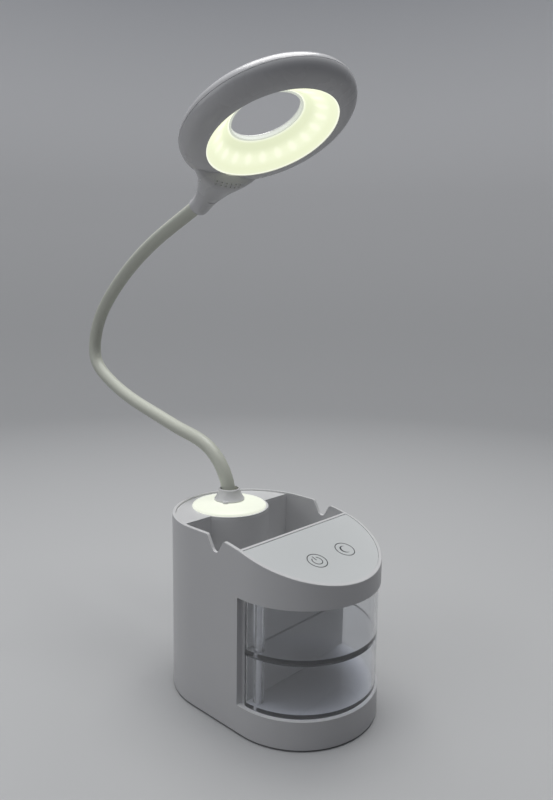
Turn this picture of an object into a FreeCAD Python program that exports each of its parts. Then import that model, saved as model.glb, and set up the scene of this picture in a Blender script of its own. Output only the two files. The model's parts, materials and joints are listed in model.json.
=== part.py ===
"""Rechargeable desk lamp on a base with a pen box and two swing-out drawers.

Millimetres.  +Z is up and the origin is the centre of the base's footprint on the table.
-Y is the front, with the control panel and the drawers.  The flexible neck rises at the rear (+Y),
bends back over the base and carries a ring-shaped lamp head.
Every solid is written to parts/NODE.step in the assembled rest position.
"""
import FreeCAD
import Part
import math
import os

V = FreeCAD.Vector
X_AXIS = V(1, 0, 0)
Z_AXIS = V(0, 0, 1)

# ---------------------------------------------------------------- driving dimensions
# Base housing: a stadium in plan, flat-topped at the rear and sloping down to the front
BASE_WIDTH = 96.0
BASE_DEPTH = 140.0
BASE_HEIGHT = 113.0              # table to the rear rim
FOOT_STAND = 1.2                 # gap under the housing that the feet leave
WALL = 2.0
SLOPE_DEG = 17.6                 # fall of the rim and the control panel
SLOPE_START_Y = -10.7            # where the slope would meet the flat rim
SLOPE_BLEND_R = 136.0
RIM_EDGE_R = 0.5                 # rounding of the housing's outer top edge
FLOOR_Z = 18.0                   # inside floor of the pen box and of the drawer bay
FLOOR_T = 2.0
COVER_T = 2.0
FIT_GAP = 0.2                    # clearance round inserted plates

# Drawer bay
BAY_TOP_DROP = 30.6              # bay's ceiling under the rear rim
BAY_CEILING_T = 2.0
BAY_BACK_Y = -19.8
BAY_SIDE_EDGE_Y = -17.8          # the side walls are cut back a little further than the bay's back wall
DIVIDER_T = 3.0                  # wall between the bay and the pen box
DIVIDER_LIP_T = 1.6              # the same wall above the bay
DIVIDER_STEP_DROP = 25.0         # where the divider thins, under the rear rim
RIBBON_SLOT = (8.0, 0.7, 2.4)    # width and depth of the slot in the divider, height of its mouth
RIBBON = (6.0, 0.25)             # width and thickness of the touch board's ribbon
RIBBON_FOLD_R = 1.2
RIBBON_BEND_R = 3.0
RIBBON_TAIL = 3.0                # from a board's edge to where the ribbon is soldered

# Pen box and the well for the neck
WELL_FROM_REAR = 30.0            # axis of the neck and of the night light, from the rear end
PEN_BOX_TO_WELL = 9.0            # from the pen box's rear wall to that axis
PEN_BOX_CORNER_R = 4.0           # of its two front corners
NOTCH_Y = 0.2                    # pen rests cut in the two side walls
NOTCH_DEPTH = 9.2
NOTCH_FLOOR_R = 3.2
NOTCH_FLANK_DEG = 60.0
NOTCH_MOUTH_R = 2.2
NOTCH_FRONT_DROP = 1.3           # the rim is that much lower at the front end of the rest

# Control panel
PANEL_T = 1.6
PANEL_DROP = 0.3                 # how far the panel lies under the rim
PANEL_LEDGE = 1.3
TOUCH_X = 12.5
TOUCH_FROM_FRONT = 24.7
TOUCH_BOARD = (44.0, 24.0, 1.2)
TOUCH_GAP = 5.0                  # between the touch board and the panel
TOUCH_SPRING = (5.0, 0.3)        # width and thickness of the leaf
TOUCH_SPRING_REACH = 3.2         # half length of the leaf's foot
TOUCH_SPRING_FOLD_R = 0.6
TOUCH_PAD_R = 4.5
TOUCH_PAD_T = 0.12

# Deck, night light and neck mount
DECK_T = 1.5
DECK_DROP = 1.0                  # top of the deck under the rim
DISC_R = 23.9
DISC_EDGE = 2.5                  # what the disc's edge covers of the deck, from its skirt outwards
DISC_SKIRT_T = 1.2
DISC_T = 1.5
DISC_CROWN = 2.5
DISC_BULGES = (0.45, 0.6)        # of the rounded edge and of the crown, over their chords
WELL_MARGIN = 1.7                # the well outside the disc
BRACKET_FIT = 0.4
BRACKET_T = 2.0
BRACKET_DROP = 4.5               # bracket top under the deck
LEDGE_WIDTH = 4.5
LEDGE_H = 5.0
BRACKET_SCREWS = 3
BRACKET_SCREW_HEAD = (2.0, 1.2)  # radius and height
NIGHT_BOARD_BORE_R = 7.9
NIGHT_BOARD_T = 1.2
NIGHT_LEDS = 8
NIPPLE_R = 5.0
NIPPLE_TAIL = 9.0
NIPPLE_FLANGE = (7.5, 1.6)       # radius and height
NUT_ACROSS_FLATS = 14.0
NUT_H = 4.0
NUT_CROWN_R = 8.7                # ball that rounds the nut's corners
COLLAR_R = (9.8, 6.8)            # at its foot and at its mouth
COLLAR_H = 7.6
COLLAR_BORE_R = 6.0
COLLAR_FOOT_H = 1.0
COLLAR_WAIST = 0.5               # hollow of the flank
COLLAR_LUG = (2.0, 1.6, 0.7)     # lug at the collar's foot: radius, height, radius of its dimple
COLLAR_LUG_DEG = 213.0
LEAD_R = 1.1
LEAD_STEPS = (0.2, 0.4, 0.62)    # heights of the lead's corners, as shares of its rise
EDGE_BREAK = 0.5

# Inside the base
CELL = (52.0, 34.0, 8.0)
CELL_FROM_FRONT = 34.0
WEIGHT = (64.0, 10.0)            # width and height
WEIGHT_ENDS = (55.0, 39.0)       # from the front end and from the rear end of the housing
BOARD = (30.0, 22.0, 1.2)
BOARD_FROM_REAR = 20.0
BOARD_LIFT = 2.2
SOCKET = (8.9, 7.4, 3.2)         # charging socket: width, length, height
SOCKET_SHELL_T = 0.4
SOCKET_RECESS = 0.8              # its mouth behind the housing's outline
PORT_GAP = 0.2
BOSS_R = 3.6
SCREW_HOLE_R = 1.25
COVER_SCREW_FROM_SIDE = 12.0
COVER_SCREW_FROM_END = (37.0, 46.0)   # the front pair and the rear pair
SCREW_HEAD_R = 2.8
SCREW_SHANK_R = 1.2
SCREW_L = 9.0
FOOT_R = 6.0
FOOT_T = 2.2
FOOT_FROM_SIDE = 22.0
FOOT_FROM_END = 20.0

# Drawers: clear D-shaped trays on one upright pin at the left front of the bay
PIN_FROM_SIDE = 9.0
PIN_TO_BACK = 7.2                # from the pin's axis to the bay's back wall
PIN_R = 1.5
PIN_FIT = 0.06                   # radial running clearance
DRAWER_INSET = 1.2               # drawer front behind the housing's outline
DRAWER_BACK_GAP = 0.7
DRAWER_GAP = 0.4                 # over, under and between the drawers
DRAWER_WALL = 1.8
DRAWER_FLOOR_T = 1.6
DRAWER_PLINTH_H = 1.0            # recessed foot under the drawer floor
DRAWER_RIGHT_INSET = 1.6
DRAWER_CORNER_R = 8.6            # rear left corner, round the pin
SWING_GAP = 0.3                  # between that corner and its hollow in the bay's back wall
KNUCKLE_R = 3.2

# Neck: a flexible steel hose in a silicone sleeve, in the plane x = 0
SLEEVE_R = 4.5
HOSE_R = 3.0
HOSE_BORE_R = 1.4
SLEEVE_FIT = 0.05
JOINT_GAP = 0.3                  # between the ball of one link and the cup of the next
NECK_SEAT = 9.0                  # how deep the hose sits in the nipple
# corners of the neck's centreline, measured back from the nipple's axis and up from its top,
# and the bend radius at each
NECK_CORNERS = (
    (0.0, 30.2, 37.0),
    (108.0, 56.5, 200.0),
    (158.0, 78.8, 21.0),
    (147.5, 116.0, 45.0),
    (116.3, 145.1, 150.0),
    (78.4, 169.1, 200.0),
)
NECK_END = (18.0, 196.0)
# distance of each flexing point along the centreline, from the start
FLEX_AT = (24.0, 50.0, 78.0, 108.0, 140.0, 172.0, 194.0, 217.0, 248.0, 280.0, 314.0)

# Lamp head: a ring with a funnel-shaped diffuser, tilted so that it faces the front of the desk
HEAD_PLACE = (-35.3, 224.4)      # the glowing rim's centre, from the same point as the neck's corners
HEAD_TILT_DEG = 26.8
HEAD_R = 53.0
HEAD_T = 1.8
# widths of the ring's parts, from the ring's edge inwards
GLOW_INSET = 13.2
LOWER_FLAT_INSET = 12.0
UPPER_FLAT_INSET = 9.0
PARTING_H = 8.5                  # height of the parting plane over the glowing rim
RIM_LIP_H = 1.6
RIM_DROP = 0.2                   # the lower shell's flat face under the glowing rim's plane
HEAD_TOP_H = 15.5
HOLE_INSET = 31.9
HOLE_LIP_T = 1.5
HOLE_LIP_LOW = 12.3
DIFFUSER_T = 1.2
DIFFUSER_SAG = 0.6               # hollow of the funnel's flank
SEAM = (0.4, 0.35)               # shadow gap along the parting: height and depth
TONGUE_INSET = 2.5               # locating lip inside the parting
TONGUE_T = 0.9
TONGUE_REACH = (3.2, 1.5)        # under and over the parting
# sections of the tab that joins ring and neck: distance beyond the ring's edge, half width, underside, top
TAB_SECTIONS = (
    (-17.0, 35.5, 2.6, 15.2),
    (-13.0, 30.0, -0.9, 15.0),
    (-9.0, 24.6, -5.0, 14.9),
    (-5.0, 19.6, -6.2, 14.4),
    (2.0, 12.6, -6.3, 12.2),
    (9.0, 8.6, -6.5, 8.4),
    (15.0, 6.5, -7.4, 5.9),
    (19.5, 5.7, -8.0, 5.0),
    (23.0, 5.3, -6.2, 4.6),
)
TAB_HOLLOW_SECTIONS = 5          # the first sections of the tab are hollow
LATCH_SECTION = 5                # the latch slot lies across this section
LATCH_SLOT = (6.0, 0.6, 0.6)     # width, breadth, depth
VENT_R = 0.5
VENT_PITCH = 3.8
VENT_ROWS = (9.8, 8.2)           # from the ring's edge inwards
VENT_COLUMNS = 6
FERRULE_R = 4.4
FERRULE_L = 11.0
FERRULE_FIT = 0.1
SLEEVE_SEAT = 4.0                # how far the sleeve goes into the tab
RING_BOARD_INSETS = (26.0, 7.0)  # its inner and outer edge, from the ring's edge inwards
RING_BOARD_T = 1.2
RING_BOARD_H = 11.6
RING_LEDS = 20
RING_LED_INSET = 21.9
RING_LED_START_DEG = 1.5
LED = (2.8, 0.8)                 # side and height
RING_POST_R = 2.4
RING_POST_INSET = 11.0
RING_SCREWS = 3
RING_SCREW_R = 0.95
RING_SCREW_HEAD = (1.9, 1.3)

# ---------------------------------------------------------------- derived places
ARC_Y = (BASE_DEPTH - BASE_WIDTH) / 2
HALF_WIDTH = BASE_WIDTH / 2
FRONT_Y = -BASE_DEPTH / 2
REAR_Y = BASE_DEPTH / 2
BODY_Z = FOOT_STAND
COVER_TOP_Z = BODY_Z + COVER_T
FLOOR_UNDER_Z = FLOOR_Z - FLOOR_T
BAY_TOP_Z = BASE_HEIGHT - BAY_TOP_DROP
CAVITY_Z = BAY_TOP_Z + BAY_CEILING_T
DIVIDER_STEP_Z = BASE_HEIGHT - DIVIDER_STEP_DROP
WELL_Y = REAR_Y - WELL_FROM_REAR
WELL_R = DISC_R + WELL_MARGIN
PEN_BOX_REAR_Y = WELL_Y - PEN_BOX_TO_WELL
TOUCH_Y = FRONT_Y + TOUCH_FROM_FRONT
DECK_TOP_Z = BASE_HEIGHT - DECK_DROP
DECK_Z = DECK_TOP_Z - DECK_T
DISC_TOP_Z = DECK_TOP_Z + DISC_T + DISC_CROWN
DISC_SKIRT_R = DISC_R - DISC_EDGE
BRACKET_TOP_Z = DECK_Z - BRACKET_DROP
BRACKET_Z = BRACKET_TOP_Z - BRACKET_T
BRACKET_R = WELL_R - WALL - BRACKET_FIT
BRACKET_SCREW_R = BRACKET_R - BRACKET_SCREW_HEAD[0]
NIGHT_BOARD_R = (NIGHT_BOARD_BORE_R, BRACKET_SCREW_R - BRACKET_SCREW_HEAD[0] - BRACKET_FIT)
NIPPLE_TOP_Z = BASE_HEIGHT
RIBBON_SLOT_Y = BAY_BACK_Y + DIVIDER_T / 2
CELL_Y = FRONT_Y + CELL_FROM_FRONT
BOARD_Y = REAR_Y - BOARD_FROM_REAR
BOARD_TOP_Z = COVER_TOP_Z + BOARD_LIFT + BOARD[2]
PIN_X = PIN_FROM_SIDE - HALF_WIDTH
PIN_Y = BAY_BACK_Y - PIN_TO_BACK
DRAWER_BACK_Y = BAY_BACK_Y - DRAWER_BACK_GAP
LOWER_DRAWER_TOP_Z = (FLOOR_Z + BAY_TOP_Z - DRAWER_GAP) / 2
GLOW_R = HEAD_R - GLOW_INSET
LOWER_FLAT_R = HEAD_R - LOWER_FLAT_INSET
UPPER_FLAT_R = HEAD_R - UPPER_FLAT_INSET
HOLE_R = HEAD_R - HOLE_INSET
RING_POST_AT = HEAD_R - RING_POST_INSET
TAB_END = HEAD_R + TAB_SECTIONS[-1][0]
FAR = 400.0                      # bigger than the whole lamp, for cutting blocks
TINY = 1e-6
TINY_LENGTH = 1e-3
UPRIGHT_DEG = 2.0                # an edge that leans less than this counts as upright
EASY_GAP = 0.6                   # straight run kept between two easy bends of the lead


# ---------------------------------------------------------------- helpers
def block(x0, x1, y0, y1, z0, z1):
    return Part.makeBox(x1 - x0, y1 - y0, z1 - z0, V(x0, y0, z0))


def rod(radius, x, y, z0, z1):
    return Part.makeCylinder(radius, z1 - z0, V(x, y, z0))


def tube(outer, inner, x, y, z0, z1):
    return rod(outer, x, y, z0, z1).cut(rod(inner, x, y, z0, z1))


def fused(solids):
    first, rest = solids[0], list(solids[1:])
    return first.fuse(rest).removeSplitter() if rest else first


def closed_face(edges):
    return Part.Face(Part.Wire(edges))


def polygon_face(points):
    return Part.Face(Part.makePolygon(list(points) + [points[0]]))


def stadium(inset, z0, z1):
    """The base's outline drawn in by inset, between two heights."""
    r = HALF_WIDTH - inset
    front = Part.Arc(V(-r, -ARC_Y, z0), V(0, -ARC_Y - r, z0), V(r, -ARC_Y, z0)).toShape()
    rear = Part.Arc(V(r, ARC_Y, z0), V(0, ARC_Y + r, z0), V(-r, ARC_Y, z0)).toShape()
    right = Part.makeLine(V(r, -ARC_Y, z0), V(r, ARC_Y, z0))
    left = Part.makeLine(V(-r, ARC_Y, z0), V(-r, -ARC_Y, z0))
    return closed_face([front, right, rear, left]).extrude(V(0, 0, z1 - z0))


def turned(edges, y=0.0):
    """Solid of revolution about the upright axis through (0, y) from edges in the (x, z) plane."""
    solid = closed_face(edges).revolve(V(0, y, 0), Z_AXIS, 360)
    if solid.Volume < 0:
        solid.reverse()
    return solid


def turned_polygon(points, y=0.0):
    """The same from a closed outline of (radius, height) points."""
    corners = [V(r, y, z) for r, z in points]
    return turned([Part.makeLine(a, b) for a, b in zip(corners, corners[1:] + corners[:1])], y)


def slope_z(y):
    """Height of the sloping part of the rim."""
    return BASE_HEIGHT - (SLOPE_START_Y - y) * math.tan(math.radians(SLOPE_DEG))


def under_rim(drop):
    """Everything that lies lower than the rim's surface moved down by drop."""
    slope = math.radians(SLOPE_DEG)
    tangent = SLOPE_BLEND_R * math.tan(slope / 2)
    top = BASE_HEIGHT - drop
    flat_end = V(-FAR, SLOPE_START_Y + tangent, top)
    middle = V(-FAR, flat_end.y - SLOPE_BLEND_R * math.sin(slope / 2),
               top - SLOPE_BLEND_R * (1 - math.cos(slope / 2)))
    slope_end = V(-FAR, SLOPE_START_Y - tangent * math.cos(slope), top - tangent * math.sin(slope))
    front = V(-FAR, -FAR, slope_z(-FAR) - drop)
    foot = front.z - FAR
    edges = [
        Part.makeLine(V(-FAR, FAR, top), flat_end),
        Part.Arc(flat_end, middle, slope_end).toShape(),
        Part.makeLine(slope_end, front),
        Part.makeLine(front, V(-FAR, -FAR, foot)),
        Part.makeLine(V(-FAR, -FAR, foot), V(-FAR, FAR, foot)),
        Part.makeLine(V(-FAR, FAR, foot), V(-FAR, FAR, top)),
    ]
    return closed_face(edges).extrude(V(2 * FAR, 0, 0))


def bulged(a, b, rise):
    """Arc from a to b in a plane of constant y; its middle stands rise to the right of the chord."""
    chord = b - a
    right = V(chord.z, 0, -chord.x).normalize()
    return Part.Arc(a, (a + b) * 0.5 + right * rise, b).toShape()


def round_upright_edges(shape, radius, wanted):
    """Rounds the upright edges whose middle passes the test."""
    edges = []
    for edge in shape.Edges:
        direction = edge.tangentAt(edge.FirstParameter)
        if abs(direction.z) > math.cos(math.radians(UPRIGHT_DEG)) and wanted(edge.CenterOfMass):
            edges.append(edge)
    return shape.makeFillet(radius, edges)


def polar(radius, angle_deg, y=0.0):
    a = math.radians(angle_deg)
    return radius * math.cos(a), y + radius * math.sin(a)


# ---------------------------------------------------------------- base housing
def notch_flank(side, depth):
    """Half of the rest's outline in the (y, z) plane: floor arc, flank, rounded mouth.

    side is -1 towards the front and 1 towards the rear; depth is from the rim there to the floor.
    """
    flank = math.radians(NOTCH_FLANK_DEG)
    floor_z = BASE_HEIGHT - NOTCH_DEPTH

    def place(out, up):
        return V(-FAR, NOTCH_Y + side * out, floor_z + up)

    def on_floor(angle):
        return place(NOTCH_FLOOR_R * math.sin(angle), NOTCH_FLOOR_R * (1 - math.cos(angle)))

    low_out = NOTCH_FLOOR_R * math.sin(flank)
    low_up = NOTCH_FLOOR_R * (1 - math.cos(flank))
    corner_out = low_out + (depth - low_up) / math.tan(flank)
    cut = NOTCH_MOUTH_R * math.tan(flank / 2)
    mouth_out = corner_out + cut
    mouth_middle = place(mouth_out - NOTCH_MOUTH_R * math.sin(flank / 2),
                         depth - NOTCH_MOUTH_R * (1 - math.cos(flank / 2)))
    flank_top = place(corner_out - cut * math.cos(flank), depth - cut * math.sin(flank))
    mouth = place(mouth_out, depth)
    return [
        Part.Arc(on_floor(0), on_floor(flank / 2), on_floor(flank)).toShape(),
        Part.makeLine(on_floor(flank), flank_top),
        Part.Arc(flank_top, mouth_middle, mouth).toShape(),
        Part.makeLine(mouth, place(mouth_out, NOTCH_DEPTH + WALL)),
    ]


def notch_cutter():
    """Groove across the whole base with sloping flanks, a rounded floor and rounded mouths."""
    rear = notch_flank(1, NOTCH_DEPTH)
    front = notch_flank(-1, NOTCH_DEPTH - NOTCH_FRONT_DROP)
    lid = Part.makeLine(front[-1].Vertexes[-1].Point, rear[-1].Vertexes[-1].Point)
    outline = Part.Wire(Part.__sortEdges__(rear + front + [lid]))
    return Part.Face(outline).extrude(V(2 * FAR, 0, 0))


def pen_box_space():
    """The open box for pens: side to side, with the round well standing in its rear wall."""
    inner = HALF_WIDTH - WALL
    front = BAY_BACK_Y + DIVIDER_T
    space = block(-inner, inner, front, PEN_BOX_REAR_Y, FLOOR_Z, FAR)
    space = round_upright_edges(space, PEN_BOX_CORNER_R, lambda c: c.y < 0).common(stadium(WALL, FLOOR_Z, FAR))
    lip_front = BAY_BACK_Y + DIVIDER_LIP_T
    upper = block(-inner, inner, lip_front, 0, DIVIDER_STEP_Z, FAR)
    return fused([space, upper]).cut(rod(WELL_R, 0, WELL_Y, 0, FAR))


def cover_screw_places():
    x = HALF_WIDTH - COVER_SCREW_FROM_SIDE
    front, rear = COVER_SCREW_FROM_END
    return [(sx * x, y) for y in (FRONT_Y + front, REAR_Y - rear) for sx in (-1, 1)]


def bracket_screw_places():
    step = 360 / BRACKET_SCREWS
    return [polar(BRACKET_SCREW_R, 90 + i * step, WELL_Y) for i in range(BRACKET_SCREWS)]


def housing():
    shell = stadium(0, BODY_Z, BASE_HEIGHT + WALL).common(under_rim(0))
    # rounded outer top edge
    top_edges = [e for e in shell.Edges if e.BoundBox.ZMin > BAY_TOP_Z]
    shell = shell.makeFillet(RIM_EDGE_R, top_edges).cut(notch_cutter())

    # space under the floors, closed by the bottom cover
    shell = shell.cut(stadium(WALL, BODY_Z - WALL, FLOOR_UNDER_Z))
    # drawer bay, open all round the front, with a hollow where the drawers' rear corner turns
    swing_r = DRAWER_CORNER_R + SWING_GAP
    swing_left = PIN_X - math.sqrt(swing_r ** 2 - PIN_TO_BACK ** 2)
    bay = fused([
        block(-FAR, FAR, -FAR, BAY_BACK_Y, FLOOR_Z, BAY_TOP_Z),
        block(-FAR, swing_left, -FAR, BAY_SIDE_EDGE_Y, FLOOR_Z, BAY_TOP_Z),
        block(HALF_WIDTH - WALL, FAR, -FAR, BAY_SIDE_EDGE_Y, FLOOR_Z, BAY_TOP_Z),
        rod(swing_r, PIN_X, PIN_Y, FLOOR_Z, BAY_TOP_Z),
    ])
    shell = shell.cut(bay)
    # room for the touch board, with a ledge that carries the control panel
    front_half = block(-FAR, FAR, -FAR, BAY_BACK_Y, CAVITY_Z, FAR)
    panel_seat = under_rim(PANEL_DROP + PANEL_T)
    shell = shell.cut(stadium(WALL + PANEL_LEDGE, CAVITY_Z, FAR).common(front_half))
    shell = shell.cut(stadium(WALL, CAVITY_Z, FAR).common(front_half).cut(panel_seat))
    # pen box
    shell = shell.cut(pen_box_space())
    # rear room and the round well in it
    rear = stadium(WALL, FLOOR_UNDER_Z, FAR).common(
        block(-FAR, FAR, PEN_BOX_REAR_Y + WALL, FAR, FLOOR_UNDER_Z, FAR))
    rear = rear.cut(rod(WELL_R, 0, WELL_Y, FLOOR_UNDER_Z, FAR))
    shell = shell.cut(rear).cut(rod(WELL_R - WALL, 0, WELL_Y, FLOOR_UNDER_Z, FAR))
    # seat of the deck: everything behind the pen box is cut down to the deck's underside
    deck_room = stadium(WALL, DECK_Z, FAR).common(block(-FAR, FAR, PEN_BOX_REAR_Y, FAR, DECK_Z, FAR))
    shell = shell.cut(deck_room).cut(rod(WELL_R, 0, WELL_Y, DECK_Z, FAR))
    # ledge in the well under the neck bracket, with a sloping underside
    inner = WELL_R - WALL
    ledge = turned_polygon([
        (inner - LEDGE_WIDTH, BRACKET_Z),
        (inner + WALL / 2, BRACKET_Z),
        (inner + WALL / 2, BRACKET_Z - LEDGE_H - LEDGE_WIDTH),
        (inner, BRACKET_Z - LEDGE_H - LEDGE_WIDTH),
        (inner - LEDGE_WIDTH, BRACKET_Z - LEDGE_H),
    ], WELL_Y)
    # bosses for the cover screws
    bosses = [rod(BOSS_R, x, y, COVER_TOP_Z, FLOOR_UNDER_Z + FLOOR_T / 2) for x, y in cover_screw_places()]
    shell = fused([shell, ledge, touch_board_posts()] + bosses)

    pilots = [rod(SCREW_HOLE_R, x, y, BODY_Z, FLOOR_UNDER_Z) for x, y in cover_screw_places()]
    pilots += [rod(SCREW_HOLE_R, x, y, BRACKET_Z - LEDGE_H, BRACKET_Z) for x, y in bracket_screw_places()]
    # slot that leads the ribbon through the divider into the touch board's room
    slot_w, slot_d, mouth_h = RIBBON_SLOT
    slot_back = RIBBON_SLOT_Y + slot_d / 2
    ribbon_slot = block(-slot_w / 2, slot_w / 2, RIBBON_SLOT_Y - slot_d / 2, slot_back,
                        FLOOR_UNDER_Z - 1, CAVITY_Z)
    ribbon_slot = ribbon_slot.fuse(
        block(-slot_w / 2, slot_w / 2, BAY_BACK_Y - 1, slot_back, CAVITY_Z, CAVITY_Z + mouth_h))
    pin_hole = rod(PIN_R, PIN_X, PIN_Y, FLOOR_UNDER_Z, CAVITY_Z)
    for cutter in pilots + [ribbon_slot, pin_hole, port_opening(PORT_GAP)]:
        shell = shell.cut(cutter)
    return shell.removeSplitter()


# ---------------------------------------------------------------- underside
def foot_places():
    x = HALF_WIDTH - FOOT_FROM_SIDE
    y = REAR_Y - FOOT_FROM_END
    return [(sx * x, sy * y) for sy in (-1, 1) for sx in (-1, 1)]


def bottom_cover():
    plate = stadium(WALL + FIT_GAP / 2, BODY_Z, COVER_TOP_Z)
    head_h = SCREW_HEAD_R - SCREW_SHANK_R
    for x, y in cover_screw_places():
        sink = Part.makeCone(SCREW_HEAD_R + FIT_GAP, SCREW_SHANK_R + FIT_GAP, head_h, V(x, y, BODY_Z))
        plate = plate.cut(sink).cut(rod(SCREW_SHANK_R + FIT_GAP, x, y, BODY_Z, COVER_TOP_Z))
    for x, y in foot_places():
        plate = plate.cut(rod(FOOT_R + FIT_GAP / 2, x, y, BODY_Z, FOOT_T))
    # posts under the driver board
    post_r = BOSS_R - SCREW_HOLE_R
    reach_x = BOARD[0] / 2 - post_r
    reach_y = BOARD[1] / 2 - post_r
    posts = [rod(post_r, sx * reach_x, BOARD_Y + sy * reach_y, COVER_TOP_Z - COVER_T / 2,
                 COVER_TOP_Z + BOARD_LIFT) for sx in (-1, 1) for sy in (-1, 1)]
    return fused([plate] + posts)


def rubber_feet():
    feet = []
    for x, y in foot_places():
        foot = rod(FOOT_R, x, y, 0, FOOT_T)
        low_edge = [e for e in foot.Edges if e.BoundBox.ZMax < FOOT_T / 2]
        feet.append(foot.makeChamfer(FOOT_T / 5, low_edge))
    return Part.makeCompound(feet)


def countersunk_screw(x, y):
    """Self-tapping screw with its flat head in the cover's face, pointing up."""
    head_h = SCREW_HEAD_R - SCREW_SHANK_R
    head = Part.makeCone(SCREW_HEAD_R, SCREW_SHANK_R, head_h, V(x, y, BODY_Z))
    shank = rod(SCREW_SHANK_R, x, y, BODY_Z + head_h, BODY_Z + SCREW_L)
    tip = Part.makeCone(SCREW_SHANK_R, SCREW_SHANK_R / 3, SCREW_SHANK_R, V(x, y, BODY_Z + SCREW_L))
    cross = block(x - SCREW_HEAD_R / 2, x + SCREW_HEAD_R / 2, y - SCREW_SHANK_R / 4, y + SCREW_SHANK_R / 4,
                  BODY_Z, BODY_Z + head_h / 2)
    cross = cross.fuse(block(x - SCREW_SHANK_R / 4, x + SCREW_SHANK_R / 4, y - SCREW_HEAD_R / 2,
                             y + SCREW_HEAD_R / 2, BODY_Z, BODY_Z + head_h / 2))
    return fused([head, shank, tip]).cut(cross)


def cover_screws():
    return Part.makeCompound([countersunk_screw(x, y) for x, y in cover_screw_places()])


# ---------------------------------------------------------------- inside the base
def centred_block(size, y, z):
    w, d, h = size
    return block(-w / 2, w / 2, y - d / 2, y + d / 2, z, z + h)


def counterweight():
    width, height = WEIGHT
    front, rear = WEIGHT_ENDS
    plate = block(-width / 2, width / 2, FRONT_Y + front, REAR_Y - rear, COVER_TOP_Z, COVER_TOP_Z + height)
    return round_upright_edges(plate, 2 * WALL, lambda c: True)


def battery_cell():
    cell = centred_block(CELL, CELL_Y, COVER_TOP_Z)
    return cell.makeFillet(WALL, cell.Edges)


def socket_outline(grow, y0, y1):
    """Flat-sided outline with round ends, as a charging socket has, grown all round."""
    w, _, h = SOCKET
    r = h / 2 + grow
    reach = w / 2 - h / 2
    z = COVER_TOP_Z + BOARD_LIFT + BOARD[2] + h / 2
    ends = [Part.makeCylinder(r, y1 - y0, V(sx * reach, y0, z), V(0, 1, 0)) for sx in (-1, 1)]
    return fused(ends + [block(-reach, reach, y0, y1, z - r, z + r)])


def port_opening(grow):
    return socket_outline(grow, REAR_Y - SOCKET[1], REAR_Y + WALL)


def charging_socket():
    rear = REAR_Y - SOCKET_RECESS
    shell = socket_outline(0, rear - SOCKET[1], rear)
    hollow = socket_outline(-SOCKET_SHELL_T, rear - SOCKET[1] + WALL, REAR_Y)
    tongue_z = COVER_TOP_Z + BOARD_LIFT + BOARD[2] + SOCKET[2] / 2
    tongue_w = SOCKET[0] - SOCKET[2]
    tongue = block(-tongue_w / 2, tongue_w / 2, rear - SOCKET[1] + WALL / 2, rear - WALL / 2,
                   tongue_z - SOCKET_SHELL_T, tongue_z + SOCKET_SHELL_T)
    return fused([shell.cut(hollow), tongue])


def driver_board():
    z = COVER_TOP_Z + BOARD_LIFT
    board = centred_block(BOARD, BOARD_Y, z)
    coil = rod(BOARD[1] / 6, -BOARD[0] / 4, BOARD_Y - BOARD[1] / 5, z + BOARD[2] / 2, z + 4 * BOARD[2])
    chip = block(BOARD[0] / 8, BOARD[0] / 3, BOARD_Y - BOARD[1] / 3, BOARD_Y - BOARD[1] / 8,
                 z + BOARD[2] / 2, z + 2 * BOARD[2])
    # the board's rear edge carries a strip under the charging socket
    strip = block(-SOCKET[0] / 2, SOCKET[0] / 2, BOARD_Y, REAR_Y - 2 * WALL, z, z + BOARD[2])
    return fused([board, strip, coil, chip])


# ---------------------------------------------------------------- control panel
def tilted(shape, y):
    """Turns a shape modelled flat at the origin to lie in the panel's slope under the panel at y."""
    place = FreeCAD.Placement(V(0, y, slope_z(y)), FreeCAD.Rotation(X_AXIS, SLOPE_DEG))
    return shape.transformed(place.toMatrix())


def control_panel():
    band = under_rim(PANEL_DROP).cut(under_rim(PANEL_DROP + PANEL_T))
    outline = stadium(WALL + FIT_GAP, CAVITY_Z, FAR)
    front = block(-FAR, FAR, -FAR, BAY_BACK_Y - FIT_GAP, CAVITY_Z, FAR)
    return outline.common(front).common(band)


# depths under the sloping rim, square to it
PANEL_UNDER = (PANEL_DROP + PANEL_T) * math.cos(math.radians(SLOPE_DEG))
TOUCH_BOARD_DEPTH = PANEL_UNDER + TOUCH_GAP


def touch_board():
    w, d, t = TOUCH_BOARD
    depth = TOUCH_BOARD_DEPTH
    board = block(-w / 2, w / 2, -d / 2, d / 2, -depth - t, -depth)
    # two pads under the contact springs
    pads = [rod(TOUCH_PAD_R, sx * TOUCH_X, 0, -depth - t / 2, -depth + TOUCH_PAD_T) for sx in (-1, 1)]
    return tilted(fused([board] + pads), TOUCH_Y)


def over_touch_board():
    """Everything above the plane of the touch board's underside."""
    return tilted(block(-FAR, FAR, -FAR, FAR, -TOUCH_BOARD_DEPTH - TOUCH_BOARD[2], FAR), TOUCH_Y)


def touch_board_posts():
    """Four upright posts from the bay's ceiling to the underside of the touch board."""
    w, d, t = TOUCH_BOARD
    post_r = BOSS_R - SCREW_HOLE_R
    slope = math.radians(SLOPE_DEG)
    centre_y = TOUCH_Y + (TOUCH_BOARD_DEPTH + t) * math.sin(slope)
    reach_x = w / 2 - post_r
    reach_y = (d / 2 - post_r) * math.cos(slope)
    posts = [rod(post_r, sx * reach_x, centre_y + sy * reach_y, BAY_TOP_Z + BAY_CEILING_T / 2, BASE_HEIGHT)
             for sx in (-1, 1) for sy in (-1, 1)]
    return Part.makeCompound(posts).cut(over_touch_board())


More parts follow.
